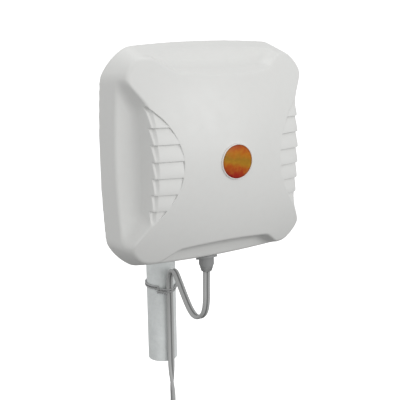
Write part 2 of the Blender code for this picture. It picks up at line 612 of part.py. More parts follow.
# saddles, U-bolts and their flanged nuts
U_R, U_WIRE = MAST_R + 0.0033, 0.0030
for level, name in ((PANEL_Z + 0.030, "upper"), (PANEL_Z - 0.030, "lower")):
    notch = (MAST_R + GAP) / math.cos(math.radians(30))
    flank = (MAST_R + GAP - 0.018 * 0.5) / math.cos(math.radians(30))
    shape = [(-0.030, MP_BACK + GAP), (0.030, MP_BACK + GAP), (0.030, -0.0235), (0.018, -flank),
             (0.0, -notch), (-0.018, -flank), (-0.030, -0.0235)]
    saddle = outline(f"mast_saddle_{name}", shape, 0.013, ZINC, at=(0, 0, level))
    arc = [(-U_R, MP_FRONT - 0.0100, level), (-U_R, -0.020, level), (-U_R, -0.008, level)]
    arc += [(-U_R * math.cos(math.pi * k / 16), U_R * math.sin(math.pi * k / 16), level) for k in range(17)]
    arc += [(U_R, -0.008, level), (U_R, -0.020, level), (U_R, MP_FRONT - 0.0100, level)]
    tube(f"u_bolt_{name}", arc, U_WIRE, ZINC)
    for sign, letter in ((-1, "a"), (1, "b")):
        drill = cylinder(f"leg_hole_{name}_{letter}", U_WIRE + 0.0004, 0.034, (sign * U_R, -0.030, level), "Y", cutter=True, sides=20)
        cut(saddle, drill)
        cut(mast_bracket, drill)
        hexnut = cylinder(f"u_bolt_nut_{name}_{letter}", 0.0057, 0.0060, (sign * U_R, MP_FRONT - GAP - 0.0030, level), "Y",
                          ZINC, sides=6)
        join(hexnut, cylinder(f"nut_flange_{name}_{letter}", 0.0068, 0.0013, (sign * U_R, MP_FRONT - GAP - 0.00065, level), "Y", sides=20))
        cut(hexnut, cylinder(f"nut_hole_{name}_{letter}", U_WIRE + GAP, 0.02, (sign * U_R, MP_FRONT, level), "Y", cutter=True, sides=20))

# ---------------------------------------------------------------- mast
turned("mast_tube", [(MAST_R, MAST_TOP), (MAST_R, 0.0), (MAST_R - MAST_WALL, 0.0), (MAST_R - MAST_WALL, MAST_TOP)], (0, 0, 0),
       GALV, steps=48, closed=True)
turned("mast_cap", [(0, MAST_TOP + 0.0035), (0.017, MAST_TOP + 0.0032), (0.0215, MAST_TOP + 0.0020), (0.0222, MAST_TOP + 0.0004),
                    (0.0222, MAST_TOP - 0.012), (MAST_R + GAP, MAST_TOP - 0.012), (MAST_R + GAP, MAST_TOP + GAP),
                    (0, MAST_TOP + GAP)], (0, 0, 0), CAPS, steps=28)

# ---------------------------------------------------------------- lead, tie, coil and connectors
BOOT_END = BOOT_TOP - 0.0082
LOOP = [(0, GLAND_Y, BOOT_END - GAP), (0, GLAND_Y + 0.0006, 0.138), (0, -0.1215, 0.118), (0, -0.1165, 0.1025), (0, -0.1055, 0.0925),
        (0, -0.0920, 0.0900), (0, -0.0790, 0.0960), (0, -0.0650, 0.1095), (0, -0.0500, 0.1262), (0, -0.0405, 0.1350),
        (0, -0.0315, 0.1335), (0, -0.0258, 0.1245), (0, RUN_Y, TIE_Z + 0.0060)]
tube("cable_loop", smooth_path(LOOP, 6, 30), CORD_R, CABLE)
# the lead hangs straight, turns aside on an easy bend and meets the coil's outside 25 degrees from its top
JOIN_A, BEND_R = math.radians(25), 0.035
JOIN_R = COIL_R + COIL_HALF_T + CORD_R + GAP
ENTRY_Y = COIL_Y + 0.0102
join_at = (-JOIN_R * math.sin(JOIN_A), ENTRY_Y, COIL_Z + JOIN_R * math.cos(JOIN_A))
turn_by = math.pi / 2 - JOIN_A
straight = (-join_at[0] - BEND_R * (1 - math.cos(turn_by))) / math.sin(turn_by)
bend_z = join_at[2] + straight * math.cos(turn_by) + BEND_R * math.sin(turn_by)
RUN = [(0, RUN_Y, TIE_Z + 0.0057), (0, RUN_Y, 0.080), (0, RUN_Y, 0.040), (0, RUN_Y, 0.000), (0, RUN_Y - 0.0008, -0.028), (0, ENTRY_Y, bend_z)]
for k in range(1, 5):
    a = turn_by * k / 4
    RUN.append((-BEND_R * (1 - math.cos(a)), ENTRY_Y, bend_z - BEND_R * math.sin(a)))
RUN.append(join_at)
tube("cable_run", smooth_path(RUN, 6, 26), CORD_R, CABLE)
turned("cable_coil", [(COIL_R + COIL_HALF_T - 0.004, COIL_HALF_W), (COIL_R + COIL_HALF_T, COIL_HALF_W - 0.004),
                      (COIL_R + COIL_HALF_T, -COIL_HALF_W + 0.004), (COIL_R + COIL_HALF_T - 0.004, -COIL_HALF_W),
                      (COIL_R - COIL_HALF_T + 0.004, -COIL_HALF_W), (COIL_R - COIL_HALF_T, -COIL_HALF_W + 0.004),
                      (COIL_R - COIL_HALF_T, COIL_HALF_W - 0.004), (COIL_R - COIL_HALF_T + 0.004, COIL_HALF_W)],
       (0, COIL_Y, COIL_Z), CABLE, turn=(math.radians(90), 0, 0), steps=36, closed=True)
for k, angle in enumerate((340.0, 160.0)):
    a = math.radians(angle)
    at = (-COIL_R * math.sin(a), COIL_Y, COIL_Z + COIL_R * math.cos(a))
    turn = (0, -a, 0)
    tie = box(f"coil_tie_{k + 1}", (0.0050, 2 * COIL_HALF_W + 0.0038, 2 * COIL_HALF_T + 0.0038), at, CAPS, turn=turn)
    cut(tie, box(f"coil_tie_hole_{k + 1}", (0.02, 2 * COIL_HALF_W + 0.0012, 2 * COIL_HALF_T + 0.0012), at, cutter=True, turn=turn))

# free end: the sleeve where the lead splits as it leaves the coil's side, and two leads to their connectors
END_X, END_Y = -(COIL_R + COIL_HALF_T - 0.0030), COIL_Y
SLEEVE_TOP = COIL_Z - 0.0335
box("split_sleeve", (0.0068, 0.0116, 0.013), (END_X, END_Y, SLEEVE_TOP - 0.0065), CAPS, round_edges=0.0015)
SPLIT = SLEEVE_TOP - 0.013 - GAP
for letter, sign in (("a", -1), ("b", 1)):
    tube(f"cable_tail_{letter}", smooth_path([(END_X, END_Y + sign * 0.0028, SPLIT), (END_X, END_Y + sign * 0.0033, SPLIT - 0.007),
                                              (END_X, END_Y + sign * 0.0058, SPLIT - 0.018), (END_X, END_Y + sign * 0.0066, SPLIT - 0.028)], 5, 9),
         0.0024, CABLE)
    turned(f"connector_{letter}",
           [(0.0, 0.0), (0.0031, 0.0), (0.0031, -0.0065), (0.0050, -0.0068), (0.0052, -0.0075), (0.0052, -0.0150), (0.0050, -0.0156),
            (0.0042, -0.0160), (0.0042, -0.0185), (0.0034, -0.0185), (0.0034, -0.0150), (0.0008, -0.0150), (0.0006, -0.0180), (0.0, -0.0182)],
           (END_X, END_Y + sign * 0.0066, SPLIT - 0.028 - GAP), BRASS, steps=16)

# wire tie: two turns round the mast and the lead, with a twisted tail
TIE_WIRE = 0.0012
ring = []
for k in range(54):
    a = 2 * math.pi * 2 * k / 54 + math.radians(-130)
    direction = Vector((math.cos(a), math.sin(a)))
    radius = MAST_R + TIE_WIRE + GAP
    # the wire runs out over the lead, which lies on the mast's front
    off = abs((math.degrees(a) + 90 + 180) % 360 - 180)
    bulge = max(0.0, 1 - off / 42.0)
    radius += (2 * CORD_R + 0.0016) * (3 * bulge ** 2 - 2 * bulge ** 3 if bulge < 1 else 1.0)
    lift = 0.0032 * (k / 53 * 2 - 1)
    ring.append((direction.x * radius, direction.y * radius, TIE_Z + lift))
tail = [(ring[-1][0] - 0.0020, ring[-1][1] - 0.0030, ring[-1][2] - 0.0030), (ring[-1][0] - 0.0005, ring[-1][1] - 0.0050, ring[-1][2] - 0.0085)]
tube("wire_tie", ring + tail, TIE_WIRE, WIRE)

# ---------------------------------------------------------------- who rides on which axis
PANEL_NODES = ("front_radome", "badge_disc", "back_cover", "perimeter_gasket", "reflector_plate", "balun_board_a", "balun_board_b",
               "radiator_board", "director_spacer", "director_plate", "coax_pigtail_a", "coax_pigtail_b", "cable_gland", "gland_boot",
               "cable_loop", "antenna_bracket", "tilt_lock_bolt", "tilt_lock_nut")
bpy.context.view_layer.update()
for obj in list(PARTS.objects):
    if obj.type == "EMPTY" or obj.name in ("mast_tube", "mast_cap"):
        continue
    on_panel = obj.name in PANEL_NODES or obj.name.startswith(("cover_screw", "reflector_", "bracket_bolt"))
    holder = tilt_axis if on_panel else azimuth_axis
    obj.parent = holder
    obj.matrix_parent_inverse = holder.matrix_world.inverted()
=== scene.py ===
import math

import bmesh
import bpy
import numpy as np
from mathutils import Matrix, Vector


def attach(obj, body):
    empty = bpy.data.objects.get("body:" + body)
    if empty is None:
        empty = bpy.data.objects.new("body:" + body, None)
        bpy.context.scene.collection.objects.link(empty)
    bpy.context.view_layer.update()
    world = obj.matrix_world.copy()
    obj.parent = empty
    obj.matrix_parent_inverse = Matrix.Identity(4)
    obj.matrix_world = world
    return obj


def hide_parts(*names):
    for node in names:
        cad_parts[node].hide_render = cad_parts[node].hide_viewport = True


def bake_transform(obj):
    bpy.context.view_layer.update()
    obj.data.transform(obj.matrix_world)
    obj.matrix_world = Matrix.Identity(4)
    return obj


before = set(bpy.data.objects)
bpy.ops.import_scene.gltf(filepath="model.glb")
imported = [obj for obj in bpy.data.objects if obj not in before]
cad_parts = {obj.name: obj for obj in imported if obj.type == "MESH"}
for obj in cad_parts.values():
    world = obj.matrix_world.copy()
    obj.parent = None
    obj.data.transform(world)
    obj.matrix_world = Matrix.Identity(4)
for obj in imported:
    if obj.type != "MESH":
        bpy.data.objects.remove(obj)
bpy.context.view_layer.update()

# ------------------------------------------------------------------ the object's driving dimensions, as in the CAD
HALF, PANEL_Z, RIM_Y = 0.128, 0.3065, -0.112
MAST_R, MAST_WALL, MAST_TOP = 0.020, 0.002, 0.372
GLAND_Y, RUN_Y, TIE_Z = -0.1228, -0.0246, 0.1075
COIL_Y, COIL_Z, COIL_R = -0.0375, -0.160, 0.0588
COIL_HALF_W, COIL_HALF_T = 0.0158, 0.0134
CORD_R, GAP = 0.0036, 0.0003
DRAFT, CLIP, CLIP_DRAFT, BOW = 0.304, 0.263, 0.349, 0.028
CROWN, CROWN_X, CROWN_Z, ROUND_DEPTH = 0.633, 0.179, 0.243, 2.0
SHELF, SHELF_SLOPE, SHELF_OUT, FRONT = 0.200, 0.42, 0.967, 0.74
GLAND_TOP_Z = PANEL_Z - HALF * (1.0 + BOW - DRAFT * (RIM_Y - GLAND_Y) / HALF)
BOOT_TOP = GLAND_TOP_Z - 0.0105 - GAP
BOOT_END = BOOT_TOP - 0.0082


# ------------------------------------------------------------------ camera
def aim_camera():
    yaw, pitch, roll = math.radians(30.3213), math.radians(12.966), math.radians(-0.779)
    forward = Vector((math.sin(yaw) * math.cos(pitch), math.cos(yaw) * math.cos(pitch), -math.sin(pitch)))
    right = Vector((math.cos(yaw), -math.sin(yaw), 0.0))
    up = right.cross(forward)
    r2 = math.cos(roll) * right + math.sin(roll) * up
    u2 = -math.sin(roll) * right + math.cos(roll) * up
    data = bpy.data.cameras.new("photo_camera")
    data.sensor_width, data.sensor_fit = 36.0, "HORIZONTAL"
    data.lens = 72.07
    data.clip_start, data.clip_end = 0.05, 60.0
    cam = bpy.data.objects.new("photo_camera", data)
    bpy.context.scene.collection.objects.link(cam)
    turn = Matrix((r2, u2, -forward)).transposed().to_4x4()
    cam.matrix_world = Matrix.Translation((-0.4832, -0.9354, 0.4664)) @ turn
    bpy.context.scene.camera = cam


aim_camera()


# ------------------------------------------------------------------ materials
def linear(v):
    return v / 12.92 if v <= 0.04045 else ((v + 0.055) / 1.055) ** 2.4


class Paint:
    """A small helper for one procedural material: nodes are added and linked by name."""

    def __init__(self, name, rough=0.5, metallic=0.0, specular=0.5, coat=0.0):
        self.mat = bpy.data.materials.new(name)
        self.mat.use_nodes = True
        self.tree = self.mat.node_tree
        self.shader = self.tree.nodes["Principled BSDF"]
        self.shader.inputs["Roughness"].default_value = rough
        self.shader.inputs["Metallic"].default_value = metallic
        self.shader.inputs["Specular IOR Level"].default_value = specular
        if coat:
            self.shader.inputs["Coat Weight"].default_value = coat
            self.shader.inputs["Coat Roughness"].default_value = 0.08
        self.where = self.tree.nodes.new("ShaderNodeTexCoord").outputs["Object"]

    def link(self, a, b):
        self.tree.links.new(a, b)

    def noise(self, scale, detail=3.0, rough=0.5, distort=0.0, stretch=None):
        node = self.tree.nodes.new("ShaderNodeTexNoise")
        node.inputs["Scale"].default_value = scale
        node.inputs["Detail"].default_value = detail
        node.inputs["Roughness"].default_value = rough
        node.inputs["Distortion"].default_value = distort
        if stretch:
            mapping = self.tree.nodes.new("ShaderNodeMapping")
            mapping.inputs["Scale"].default_value = stretch
            self.link(self.where, mapping.inputs["Vector"])
            self.link(mapping.outputs["Vector"], node.inputs["Vector"])
        else:
            self.link(self.where, node.inputs["Vector"])
        return node.outputs["Fac"]

    def cells(self, scale, randomness=1.0, feature="F1", output="Distance"):
        node = self.tree.nodes.new("ShaderNodeTexVoronoi")
        node.inputs["Scale"].default_value = scale
        node.inputs["Randomness"].default_value = randomness
        node.feature = feature
        self.link(self.where, node.inputs["Vector"])
        return node.outputs[output]

    def ramp(self, fac, stops):
        node = self.tree.nodes.new("ShaderNodeValToRGB")
        elements = node.color_ramp.elements
        while len(elements) < len(stops):
            elements.new(0.5)
        for element, (at, color) in zip(elements, stops):
            element.position = at
            element.color = (*color, 1.0) if len(color) == 3 else color
        self.link(fac, node.inputs["Fac"])
        return node.outputs["Color"]

    def mix(self, fac, a, b, mode="MIX"):
        node = self.tree.nodes.new("ShaderNodeMix")
        node.data_type = "RGBA"
        node.blend_type = mode
        for socket, value in ((node.inputs[0], fac), (node.inputs[6], a), (node.inputs[7], b)):
            if isinstance(value, (int, float)):
                socket.default_value = value
            elif isinstance(value, tuple):
                socket.default_value = (*value, 1.0)
            else:
                self.link(value, socket)
        return node.outputs[2]

    def scaled(self, value, low, high, from_low=0.0, from_high=1.0):
        node = self.tree.nodes.new("ShaderNodeMapRange")
        node.inputs["From Min"].default_value = from_low
        node.inputs["From Max"].default_value = from_high
        node.inputs["To Min"].default_value = low
        node.inputs["To Max"].default_value = high
        self.link(value, node.inputs["Value"])
        return node.outputs["Result"]

    def math(self, op, a, b=None, clamp=False):
        node = self.tree.nodes.new("ShaderNodeMath")
        node.operation = op
        node.use_clamp = clamp
        for socket, value in zip(node.inputs, (a, b)):
            if value is None:
                continue
            if isinstance(value, (int, float)):
                socket.default_value = value
            else:
                self.link(value, socket)
        return node.outputs[0]

    def color(self, value):
        self.link(value, self.shader.inputs["Base Color"])

    def roughness(self, value):
        self.link(value, self.shader.inputs["Roughness"])

    def bump(self, height, strength, distance):
        node = self.tree.nodes.new("ShaderNodeBump")
        node.inputs["Strength"].default_value = strength
        node.inputs["Distance"].default_value = distance
        self.link(height, node.inputs["Height"])
        self.link(node.outputs["Normal"], self.shader.inputs["Normal"])


def moulded(name, color, rough, vary=0.035, grain=1800.0, bump=0.00003, specular=0.5, dust=0.0):
    """Moulded plastic: faint cloudy tint, fine spark-eroded grain, slight variation of gloss."""
    paint = Paint(name, rough, specular=specular)
    cloud = paint.noise(9.0, 2.0)
    fine = paint.noise(140.0, 4.0)
    low = tuple(c * (1 - vary) for c in color)
    high = tuple(min(1.0, c * (1 + vary * 0.6)) for c in color)
    base = paint.ramp(cloud, [(0.3, low), (0.7, high)])
    base = paint.mix(paint.scaled(fine, 0.0, 0.25, 0.45, 0.75), base, tuple(c * 0.94 for c in color))
    if dust:
        base = paint.mix(paint.scaled(paint.noise(38.0, 5.0, 0.65), 0.0, dust, 0.5, 0.8), base, (0.42, 0.40, 0.36))
    paint.color(base)
    paint.roughness(paint.scaled(paint.noise(60.0, 3.0), rough - 0.05, rough + 0.07, 0.3, 0.7))
    paint.bump(paint.noise(grain, 2.0), 0.35, bump)
    return paint.mat


def steel(name, color, rough, metallic=1.0, spangle=0.0, brushed=None, bump=0.00002):
    paint = Paint(name, rough, metallic)
    base = paint.ramp(paint.noise(55.0, 5.0, 0.6), [(0.3, tuple(c * 0.86 for c in color)), (0.72, color)])
    if spangle:
        flake = paint.cells(spangle, 1.0, output="Color")
        node = paint.tree.nodes.new("ShaderNodeSeparateColor")
        paint.link(flake, node.inputs[0])
        base = paint.mix(paint.scaled(node.outputs[0], 0.0, 0.16), base, tuple(min(1.0, c * 1.16) for c in color))
        base = paint.mix(paint.scaled(node.outputs[1], 0.0, 0.14), base, tuple(c * 0.80 for c in color))
    paint.color(base)
    fine = paint.noise(420.0, 3.0, stretch=brushed) if brushed else paint.noise(260.0, 4.0)
    paint.roughness(paint.scaled(fine, rough - 0.09, rough + 0.12, 0.3, 0.7))
    paint.bump(fine, 0.4, bump)
    return paint.mat


def rubbery(name, color, rough=0.75):
    paint = Paint(name, rough, specular=0.35)
    base = paint.ramp(paint.noise(90.0, 5.0, 0.6), [(0.3, tuple(c * 0.8 for c in color)), (0.7, tuple(c * 1.25 for c in color))])
    paint.color(base)
    paint.roughness(paint.scaled(paint.noise(220.0, 3.0), rough - 0.1, min(1.0, rough + 0.1), 0.3, 0.7))
    paint.bump(paint.noise(900.0, 3.0), 0.5, 0.00005)
    return paint.mat


def board(name):
    """Circuit board laminate: green resist over glass weave, with a paler copper area showing under it."""
    paint = Paint(name, 0.35, specular=0.55)
    weave_x = paint.noise(900.0, 1.0, stretch=(1.0, 1.0, 0.05))
    weave_z = paint.noise(900.0, 1.0, stretch=(0.05, 1.0, 1.0))
    weave = paint.math("MULTIPLY", weave_x, weave_z)
    base = paint.ramp(weave, [(0.1, (0.025, 0.120, 0.055)), (0.45, (0.055, 0.215, 0.105))])
    base = paint.mix(paint.scaled(paint.noise(45.0, 2.0), 0.0, 0.35, 0.5, 0.6), base, (0.13, 0.26, 0.10))
    paint.color(base)
    paint.bump(weave, 0.3, 0.00004)
    return paint.mat


MATS = {
    "radome": moulded("abs_radome", (0.765, 0.768, 0.752), 0.40, vary=0.012, grain=1500.0, bump=0.000018, specular=0.5),
    "cover": moulded("abs_cover", (0.70, 0.705, 0.70), 0.50, vary=0.02, grain=900.0, bump=0.00007, dust=0.05),
    "seal": rubbery("seal_rubber", (0.022, 0.022, 0.023)),
    "zinc": steel("zinc_plate", (0.66, 0.665, 0.66), 0.36, brushed=(1.0, 1.0, 0.06)),
    "bolt": steel("zinc_bolt", (0.60, 0.605, 0.59), 0.30, bump=0.00001),
    "galv": steel("galvanised", (0.850, 0.885, 0.878), 0.60, metallic=0.05, spangle=330.0, bump=0.00003),
    "alu": steel("mill_aluminium", (0.78, 0.785, 0.79), 0.28, brushed=(0.05, 1.0, 1.0)),
    "board": board("board_laminate"),
    "nylon": moulded("natural_nylon", (0.72, 0.70, 0.62), 0.45, vary=0.05),
    "gland": moulded("gland_nylon", (0.300, 0.304, 0.302), 0.52, vary=0.10, grain=1400.0, bump=0.00005),
    "boot": rubbery("boot_rubber", (0.270, 0.274, 0.272), 0.62),
    "lead": moulded("lead_pvc", (0.455, 0.460, 0.456), 0.45, vary=0.05, grain=2200.0, bump=0.00004),
    "cap": moulded("cap_plastic", (0.030, 0.030, 0.032), 0.50, vary=0.15, grain=1200.0, bump=0.00005),
    "strap": moulded("strap_nylon", (0.022, 0.022, 0.024), 0.45, vary=0.2, grain=800.0, bump=0.00006),
    "wire": steel("tie_wire", (0.42, 0.425, 0.425), 0.45, metallic=0.25, bump=0.00003),
    "brass": steel("nickel_plate", (0.68, 0.66, 0.60), 0.22, brushed=(1.0, 1.0, 0.06), bump=0.00001),
}


def material_for(node):
    if node == "back_cover":
        return "cover"
    if node.startswith(("perimeter_gasket", "coax_pigtail")):
        return "seal"
    if node.startswith(("cover_screw", "reflector_screw", "bracket_bolt", "tilt_", "u_bolt")):
        return "bolt"
    if node.startswith(("antenna_bracket", "mast_bracket", "mast_saddle")):
        return "zinc"
    if node.startswith("mast_tube"):
        return "galv"
    if node in ("reflector_plate", "director_plate"):
        return "alu"
    if node.startswith("balun_board") or node == "radiator_board":
        return "board"
    if node.startswith(("reflector_standoff", "director_spacer")):
        return "nylon"
    if node == "cable_gland":
        return "gland"
    if node == "gland_boot":
        return "boot"
    if node.startswith("cable_"):
        return "lead"
    if node in ("mast_cap", "split_sleeve"):
        return "cap"
    if node.startswith("coil_tie"):
        return "strap"
    if node == "wire_tie":
        return "wire"
    if node.startswith("connector"):
        return "brass"
    return "radome"


for name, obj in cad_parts.items():
    obj.data.materials.clear()
    obj.data.materials.append(MATS[material_for(name)])


# ------------------------------------------------------------------ mesh helpers
def mesh_object(name, points, faces, mat, smooth=None):
    mesh = bpy.data.meshes.new(name)
    mesh.from_pydata([tuple(map(float, p)) for p in points], [], [tuple(int(i) for i in f) for f in faces])
    mesh.validate()
    mesh.update()
    obj = bpy.data.objects.new(name, mesh)
    bpy.context.scene.collection.objects.link(obj)
    mesh.materials.append(MATS[mat] if isinstance(mat, str) else mat)
    if smooth is not None:
        mesh.shade_smooth()
        if smooth < 180:
            mesh.set_sharp_from_angle(angle=math.radians(smooth))
    return obj


def lathe(name, profile, at, mat, axis=Vector((0, 0, 1)), sides=96, closed=False, smooth=35):
    """A turned piece from (radius, height) points. Points on the axis share one vertex."""
    axis = Vector(axis).normalized()
    side = axis.orthogonal().normalized()
    other = axis.cross(side)
    points, rings = [], []
    for r, h in profile:
        if r < 1e-7:
            rings.append([len(points)])
            points.append(Vector(at) + axis * h)
        else:
            ring = []
            for k in range(sides):
                a = 2 * math.pi * k / sides
                ring.append(len(points))
                points.append(Vector(at) + axis * h + (side * math.cos(a) + other * math.sin(a)) * r)
            rings.append(ring)
    faces = []
    pairs = list(zip(rings, rings[1:]))
    if closed:
        pairs.append((rings[-1], rings[0]))
    for a, b in pairs:
        for k in range(sides):
            j = (k + 1) % sides
            if len(a) == 1 and len(b) == 1:
                continue
            if len(a) == 1:
                faces.append((a[0], b[k], b[j]))
            elif len(b) == 1:
                faces.append((a[k], b[0], a[j]))
            else:
                faces.append((a[k], b[k], b[j], a[j]))
    obj = mesh_object(name, points, faces, mat)
    bm = bmesh.new()
    bm.from_mesh(obj.data)
    bmesh.ops.recalc_face_normals(bm, faces=bm.faces)
    bm.to_mesh(obj.data)
    bm.free()
    obj.data.shade_smooth()
    obj.data.set_sharp_from_angle(angle=math.radians(smooth))
    return obj


def catmull(points, steps):
    pts = np.array(points, float)
    pts = np.vstack([2 * pts[0] - pts[1], pts, 2 * pts[-1] - pts[-2]])
    out = []
    for i in range(1, len(pts) - 2):
        p0, p1, p2, p3 = pts[i - 1: i + 3]
        for k in range(steps):
            t = k / steps
            out.append(0.5 * (2 * p1 + (p2 - p0) * t + (2 * p0 - 5 * p1 + 4 * p2 - p3) * t * t
                              + (3 * p1 - p0 - 3 * p2 + p3) * t ** 3))
    out.append(pts[-2])
    return np.array(out)


def even(points, step):
    points = np.asarray(points, float)
    lengths = np.concatenate([[0], np.cumsum(np.linalg.norm(np.diff(points, axis=0), axis=1))])
    count = max(2, int(round(lengths[-1] / step)) + 1)
    want = np.linspace(0, lengths[-1], count)
    return np.stack([np.interp(want, lengths, points[:, k]) for k in range(3)], axis=1)


def smoothstep(x):
    x = np.clip(x, 0, 1)
    return x * x * (3 - 2 * x)


def sweep(name, path, section, wide, mat, smooth=50):
    """A closed section carried along a path. `wide` gives the section's first axis at each point."""
    path = np.asarray(path, float)
    tangent = np.gradient(path, axis=0)
    tangent /= np.linalg.norm(tangent, axis=1)[:, None]
    wide = np.asarray(wide, float)
    wide = wide - (wide * tangent).sum(1)[:, None] * tangent
    wide /= np.linalg.norm(wide, axis=1)[:, None]
    normal = np.cross(tangent, wide)
    section = np.asarray(section, float)
    m, n = len(section), len(path)
    points = (path[:, None, :] + section[None, :, 0, None] * wide[:, None, :] + section[None, :, 1, None] * normal[:, None, :]).reshape(-1, 3)
    faces = []
    for i in range(n - 1):
        a, b = i * m, (i + 1) * m
        for k in range(m):
            j = (k + 1) % m
            faces.append((a + k, a + j, b + j, b + k))
    faces.append(tuple(range(m))[::-1])
    faces.append(tuple((n - 1) * m + k for k in range(m)))
    obj = mesh_object(name, points, faces, mat)
    bm = bmesh.new()
    bm.from_mesh(obj.data)
    bmesh.ops.recalc_face_normals(bm, faces=bm.faces)
    bm.to_mesh(obj.data)
    bm.free()
    obj.data.shade_smooth()
    obj.data.set_sharp_from_angle(angle=math.radians(smooth))
    return obj


# ------------------------------------------------------------------ twin lead: gland, loop, run down the mast, coil
LOOP = [(0, GLAND_Y, BOOT_END - GAP), (0, GLAND_Y + 0.0006, 0.138), (0, -0.1215, 0.118), (0, -0.1165, 0.1025), (0, -0.1055, 0.0925),
        (0, -0.0920, 0.0900), (0, -0.0790, 0.0960), (0, -0.0650, 0.1095), (0, -0.0500, 0.1262), (0, -0.0405, 0.1350),
        (0, -0.0315, 0.1335), (0, -0.0258, 0.1245), (0, RUN_Y, TIE_Z + 0.0060)]
JOIN_A, BEND_R = math.radians(25), 0.035
JOIN_R = COIL_R + COIL_HALF_T + CORD_R + GAP
ENTRY_Y = COIL_Y + 0.0102
join_at = (-JOIN_R * math.sin(JOIN_A), ENTRY_Y, COIL_Z + JOIN_R * math.cos(JOIN_A))
turn_by = math.pi / 2 - JOIN_A
straight = (-join_at[0] - BEND_R * (1 - math.cos(turn_by))) / math.sin(turn_by)
bend_z = join_at[2] + straight * math.cos(turn_by) + BEND_R * math.sin(turn_by)
RUN = [(0, RUN_Y, 0.080), (0, RUN_Y, 0.040), (0, RUN_Y, 0.000), (0, RUN_Y - 0.0008, -0.028), (0, ENTRY_Y, bend_z)]
for k in range(1, 5):
    a = turn_by * k / 4
    RUN.append((-BEND_R * (1 - math.cos(a)), ENTRY_Y, bend_z - BEND_R * math.sin(a)))


def coil_points():
    """Twelve turns, three across and five deep, wound from the outside in and back out. Each crossing has its own sector."""
    across = [COIL_Y + 0.0102, COIL_Y, COIL_Y - 0.0102]
    deep = [0.0486 + 0.00515 * j for j in range(5)]
    radial, axial = 22.0, 36.0
    moves = [(362, radial, (0, 3)), (722, radial, (0, 2)), (1082, radial, (0, 1)), (1380, radial, (0, 0)), (1405, axial, (1, 0)),
             (1742, radial, (1, 1)), (2065, axial, (2, 1)), (2402, radial, (2, 2)), (2725, axial, (1, 2)), (3062, radial, (1, 3)),
             (3385, axial, (2, 3)), (3722, radial, (2, 4)), (4045, axial, (1, 4))]
    angle = np.arange(25.0, 4410.1, 3.0)
    y = np.full(len(angle), across[0])
    r = np.full(len(angle), deep[4])
    cell = (0, 4)
    for start, width, to in moves:
        s = smoothstep((angle - start) / width)
        y += (across[to[0]] - across[cell[0]]) * s
        r += (deep[to[1]] - deep[cell[1]]) * s
        cell = to
    r += (JOIN_R - deep[4]) * (1 - smoothstep((angle - 22.0) / 34.0))
    a = np.radians(angle)
    return np.stack([-r * np.sin(a), y, COIL_Z + r * np.cos(a)], axis=1)


coil = coil_points()
upper = even(catmull([(0, GLAND_Y, BOOT_END + 0.0050)] + LOOP + RUN + [tuple(coil[1]), tuple(coil[3])], 10), 0.0022)
upper = upper[np.linalg.norm(upper - coil[1], axis=1).argmin() * 0:]
cut_at = int(np.linalg.norm(upper - coil[1], axis=1).argmin())
end_z = COIL_Z - 0.0335 - 0.0040
tail = [(coil[-1][0], coil[-1][1], coil[-1][2] - 0.0032 * k) for k in range(1, int((coil[-1][2] - end_z) / 0.0032) + 1)]
lead_path = np.vstack([upper[:cut_at], coil[1:], np.array(tail)])
lead_length = float(np.linalg.norm(np.diff(lead_path, axis=0), axis=1).sum())
print("lead path length", round(lead_length, 4))
# the lead's wide side faces forward on the mast and turns a quarter below its foot, so that it coils the easy way
share = np.zeros(len(lead_path))
near = (np.arange(len(lead_path)) < cut_at) & (lead_path[:, 1] > -0.030)
run_z = np.where(near, lead_path[:, 2], 1.0)
share[:cut_at] = smoothstep((0.002 - run_z[:cut_at]) / 0.050)
share[cut_at:] = 1.0
quarter = share * math.pi / 2
wide = np.stack([np.cos(quarter), np.sin(quarter), np.zeros(len(quarter))], axis=1)
lobe = [(2.45 + 2.45 * math.cos(math.radians(a)), 2.45 * math.sin(math.radians(a))) for a in np.linspace(-122, 122, 12)]
section = [(x / 1000, y / 1000) for x, y in lobe] + [(0.0, 0.00118)] + [(-x / 1000, -y / 1000) for x, y in lobe] + [(0.0, -0.00118)]
lead = sweep("twin_lead", lead_path, section, wide, "lead", smooth=180)
# painted shade: the faces along the valley between the two strands get a darker colour that stands in for the shade
# falling in that crease
MATS["web"] = moulded("lead_web", (0.215, 0.218, 0.216), 0.60, vary=0.08, grain=2200.0, bump=0.00004)
lead.data.materials.append(MATS["web"])
# mask for the painted shade: the faces on either side of the valley between the strands
painted_valley_shade_faces = np.arange(len(lead.data.polygons)) % len(section)
painted_valley_shade_faces = np.isin(painted_valley_shade_faces, (11, 12, 24, 25)) & (np.arange(len(lead.data.polygons)) < (len(lead_path) - 1) * len(section))
lead.data.polygons.foreach_set("material_index", painted_valley_shade_faces.astype(np.int32))
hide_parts("cable_loop", "cable_run", "cable_coil")
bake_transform(lead)


# ------------------------------------------------------------------ radome, as one smooth moulded shell
def smax(a, b, k):
    h = np.clip(0.5 + 0.5 * (a - b) / k, 0, 1)
    return b + (a - b) * h + k * h * (1 - h)


def face_depth(u, v):
    sx2, sz2 = ROUND_DEPTH / (2 * CROWN_X), ROUND_DEPTH / (2 * CROWN_Z)
    return CROWN - ROUND_DEPTH + ROUND_DEPTH * np.sqrt(np.maximum(0.0, 1 - u * u / sx2 - v * v / sz2))


def wall(a, b, d, face, foot):
    """Distance to a pocket's wall, over its floor: below zero inside the pocket. a runs along the side and b outwards."""
    low = SHELF + SHELF_SLOPE * (SHELF_OUT - b)
    t = np.clip((d - low) / (FRONT - low), -0.2, 1.1)
    v0, bow, turn, end = (p + (q - p) * t for p, q in zip(foot, face))
    reach = np.minimum(a, turn * 1.15)
    middle = v0 + bow * reach * reach
    knee = v0 + bow * turn * turn
    slope = (1.06 - knee) / (end + 0.03 - turn)
    g1 = (middle - b) / 1.035
    g2 = (knee + (a - turn) * slope - b) / np.sqrt(1.04 + slope * slope)
    g3 = (low - d) / 1.085
    return smax(smax(g1, g2, 0.022), g3, 0.050)


